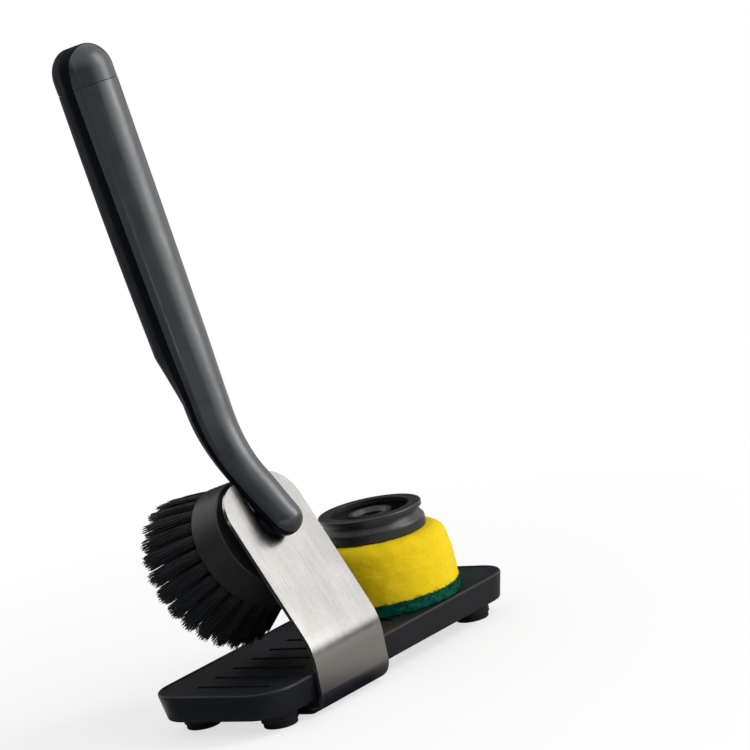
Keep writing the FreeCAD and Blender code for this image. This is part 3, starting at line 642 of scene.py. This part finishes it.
def ring_caps(form, rings, step):
    """Divide the two flat ends into rings."""
    caps = [face for face in form.faces if len(face.verts) == SPONGE_SIDES]
    for _ in range(rings):
        bmesh.ops.inset_individual(form, faces=caps, thickness=step)


def roughen(form, depth, size, seed):
    """Push every point along its normal by smooth noise."""
    form.normal_update()
    shift = Vector((seed, seed, seed))
    heights = [noise.noise(corner.co / size + shift) for corner in form.verts]
    moves = [corner.normal * depth * height for corner, height in zip(form.verts, heights)]
    for corner, move in zip(form.verts, moves):
        corner.co += move


def swell(corner, share):
    corner.co.x = SPONGE.x + (corner.co.x - SPONGE.x) * share
    corner.co.y = SPONGE.y + (corner.co.y - SPONGE.y) * share


def foam_block():
    low, high = foam_low.z, foam_high.z
    form = disc(low, high, FOAM_RADIUS, FOAM_TOP)
    bmesh.ops.subdivide_edges(form, edges=upright_edges(form, least=10 * MM), cuts=1)
    for corner in form.verts:
        if low + MM < corner.co.z < high - MM:
            swell(corner, 1 + FOAM_SWELL / FOAM_RADIUS)
    round_rim(form, high, FOAM_SHOULDER, steps=10)
    round_rim(form, low, SPONGE_EDGE, steps=2)
    divide_side(form, cuts=14)
    ring_caps(form, rings=6, step=4.4 * MM)
    bmesh.ops.recalc_face_normals(form, faces=form.faces)
    roughen(form, depth=0.45 * MM, size=6 * MM, seed=3.1)
    roughen(form, depth=0.22 * MM, size=1.4 * MM, seed=8.7)
    piece = piece_from(form, "foam_block", yellow_foam(), "sponge_head")
    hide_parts("sponge_foam")


def scourer_pad():
    low, high = (corner.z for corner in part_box("scourer_layer"))
    radius = FOAM_RADIUS - SCOURER_INSET
    form = disc(low, high, radius, radius)
    round_rim(form, low, SPONGE_EDGE, steps=2)
    divide_side(form, cuts=6)
    ring_caps(form, rings=8, step=3.6 * MM)
    bmesh.ops.recalc_face_normals(form, faces=form.faces)
    roughen(form, depth=0.55 * MM, size=2.2 * MM, seed=1.3)
    for corner in form.verts:
        corner.co.z = min(max(corner.co.z, low), high)
    for _ in range(SIDE_FRAYS):
        fray(form, lowest=low + 0.6 * MM, highest=high, proud=0.15 * MM)
    for _ in range(RIM_FRAYS):
        fray(form, lowest=high - 0.4 * MM, highest=high + 0.6 * MM, proud=0.55 * MM)
    piece = piece_from(form, "scourer_pad", scouring_fleece(), "sponge_head")
    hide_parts("scourer_layer")


def fray(form, lowest, highest, proud):
    """One loose fibre on the scourer's edge, lying along it and lifting a little."""
    length = draw.uniform(*FRAY_LENGTH) * MM
    around = draw.uniform(0, 2 * math.pi)
    rise = draw.uniform(lowest, highest)
    reach = FOAM_RADIUS + draw.uniform(FRAY_SUNK, proud)
    slant = draw.gauss(0, FRAY_SLANT)
    lift = draw.gauss(0, FRAY_LIFT)
    stand = Matrix.Translation((SPONGE.x, SPONGE.y, rise)) @ Matrix.Rotation(around, 4, "Z")
    stand = stand @ Matrix.Translation((reach, 0, 0)) @ Matrix.Rotation(math.pi / 2 + slant, 4, "X")
    stand = stand @ Matrix.Rotation(lift, 4, "Y")
    bmesh.ops.create_cone(form, cap_ends=True, segments=FRAY_SIDES, radius1=FRAY_FOOT, radius2=FRAY_TIP,
                          depth=length, matrix=stand)


foam_block()
scourer_pad()


# Studio: a pale floor, a tall soft light at the front right, dark cards and a white surround

WHITE = (1, 1, 1)
PAPER = (0.92, 0.92, 0.92)
PAPER_SHADOW_NEAR = 0.1
PAPER_SHADOW_FAR = 0.45
PAPER_GLOW = 0.68
CARD_WEAVE = 20 * MM
CARD_BLACK = (0.020, 0.020, 0.021), (0.030, 0.030, 0.031)
STRAP_FOOT = (-0.044, -0.053, 0)
# painted contact shadow on the front mat: dark near the foot of the steel strap, grey further off
STRAP_SHADE = 0.02, 0.075
MAT_SHADOW_TO_GREY = (0.015, 0.018, 0.026), (0.36, 0.35, 0.335)
AMBIENT = 0.6


def matt(finish, colour):
    finish.set(Base_Color=opaque(colour), Roughness=0.9, Specular_IOR_Level=0.1)


def seen_directly(finish):
    """1 where the camera, a mirror or glass looks, 0 for scattered light."""
    outputs = ("Is Camera Ray", "Is Glossy Ray", "Is Transmission Ray")
    rays = [finish.node("ShaderNodeLightPath", output=name) for name in outputs]
    return rays[0] + rays[1] + rays[2]


def floor_paper():
    """White paper that keeps a soft shadow near the object and goes over to plain white further off."""
    finish = new_finish("floor_paper")
    matt(finish, PAPER)
    away = finish.measure("LENGTH", finish.where())
    white = finish.node("ShaderNodeEmission", None, {"Color": opaque(WHITE), "Strength": 1})
    glow = finish.spread(away, PAPER_SHADOW_NEAR, PAPER_SHADOW_FAR, PAPER_GLOW)
    lit = Value(finish, finish.tree.nodes["Principled BSDF"].outputs["BSDF"])
    shares = {0: glow * seen_directly(finish), 1: lit, 2: white}
    mixed = finish.node("ShaderNodeMixShader", None, shares)
    finish.feed(finish.tree.nodes["Material Output"].inputs["Surface"], mixed)
    return finish.owner


def card_black():
    finish = new_finish("card_black")
    matt(finish, finish.colours(finish.noise(finish.place(), CARD_WEAVE), *CARD_BLACK))
    return finish.owner


def painted_shadow_mat():
    """Grey cloth with a painted contact shadow that darkens it towards the foot of the steel strap."""
    finish = new_finish("painted_shadow_mat")
    away = finish.measure("DISTANCE", finish.where(), STRAP_FOOT)
    matt(finish, finish.colours(finish.spread(away, *STRAP_SHADE), *MAT_SHADOW_TO_GREY))
    return finish.owner


def aimed(place, aim):
    """Place of a lamp or card that looks from one point to another."""
    turn = (Vector(aim) - Vector(place)).to_track_quat("-Z", "Y").to_matrix().to_4x4()
    return Matrix.Translation(place) @ turn


def stage_sheet(name, material, wide, high, stand):
    form = bmesh.new()
    bmesh.ops.create_grid(form, x_segments=1, y_segments=1, size=0.5)
    bmesh.ops.scale(form, vec=(wide, high, 1), verts=form.verts)
    bmesh.ops.transform(form, matrix=stand, verts=form.verts)
    sheet = linked(form, name, material)
    return sheet


def card(name, material, place, aim, wide, high):
    """A card out of the picture that only the gloss of steel and plastic shows, as a dark stretch."""
    sheet = stage_sheet(name, material, wide, high, aimed(place, aim))
    sheet.visible_camera = False
    sheet.visible_diffuse = False
    sheet.visible_shadow = False


def soft_box(name, place, aim, wide, high, watts):
    lamp = bpy.data.lights.new(name, "AREA")
    lamp.shape = "RECTANGLE"
    lamp.size = wide
    lamp.size_y = high
    lamp.energy = watts
    stand = bpy.data.objects.new(name, lamp)
    stand.matrix_world = aimed(place, aim)
    bpy.context.scene.collection.objects.link(stand)


def surround():
    finish = Finish(bpy.data.worlds.new("surround"))
    ground = finish.tree.nodes["Background"].inputs
    finish.feed(ground["Color"], opaque(WHITE))
    finish.feed(ground["Strength"], AMBIENT + (1 - AMBIENT) * seen_directly(finish))
    bpy.context.scene.world = finish.owner


FLOOR_SIDE = 24
CARD_TURNS = (135, 180, 225)
CARD_AWAY = 2.2
CARD_MIDDLE = Vector((0, 0, 0.85))
black = card_black()
stage_sheet("floor", floor_paper(), FLOOR_SIDE, FLOOR_SIDE, Matrix.Identity(4))
surround()
soft_box("front_light", place=(0.58, -0.95, 0.80), aim=(0, 0, 0.18), wide=0.55, high=1.3, watts=12.5)
for turn in CARD_TURNS:
    ray = Vector((math.cos(math.radians(turn)), math.sin(math.radians(turn)), 0))
    spot = ray * CARD_AWAY + CARD_MIDDLE
    card("left_card_%d" % turn, black, place=spot, aim=CARD_MIDDLE, wide=2.2, high=1.6)
card("left_mat", black, place=(-0.71, 0.45, 0.002), aim=(-0.71, 0.45, 1), wide=1.19, high=1.1)
card("back_card", black, place=(1.25, 1.0, 0.62), aim=(0, 0, 0.62), wide=1.7, high=1.2)
card("low_card", black, place=(0.463, -0.456, 0.035), aim=(-0.044, -0.053, 0.035), wide=0.9, high=0.07)
card("front_mat", painted_shadow_mat(), place=(0.2, -0.26, 0.0006), aim=(0.2, -0.26, 1), wide=0.75, high=0.62)


# Camera: a long lens, tipped a little, at the photograph's viewing angle

AZIMUTH = math.radians(-52.52)
ELEVATION = math.radians(10.52)
ROLL = math.radians(-11.75)
TARGET = Vector((49.13, -30.95, 140.04)) * MM
DISTANCE = 2.407
LENS = 229.3
SENSOR = 36
FARTHEST = 100


def camera():
    right = Vector((math.cos(AZIMUTH), math.sin(AZIMUTH), 0))
    level = Vector((math.sin(AZIMUTH), -math.cos(AZIMUTH), 0))
    back = level * math.cos(ELEVATION) + Vector((0, 0, math.sin(ELEVATION)))
    up = back.cross(right)
    across = math.cos(ROLL) * right + math.sin(ROLL) * up
    upward = math.cos(ROLL) * up - math.sin(ROLL) * right
    lens = bpy.data.cameras.new("camera")
    lens.lens = LENS
    lens.sensor_width = SENSOR
    lens.clip_end = FARTHEST
    stand = bpy.data.objects.new("camera", lens)
    turn = Matrix((across, upward, back)).transposed().to_4x4()
    stand.matrix_world = Matrix.Translation(TARGET + back * DISTANCE) @ turn
    bpy.context.scene.collection.objects.link(stand)
    bpy.context.scene.camera = stand


camera()

view = bpy.context.scene.view_settings
view.view_transform = "Standard"
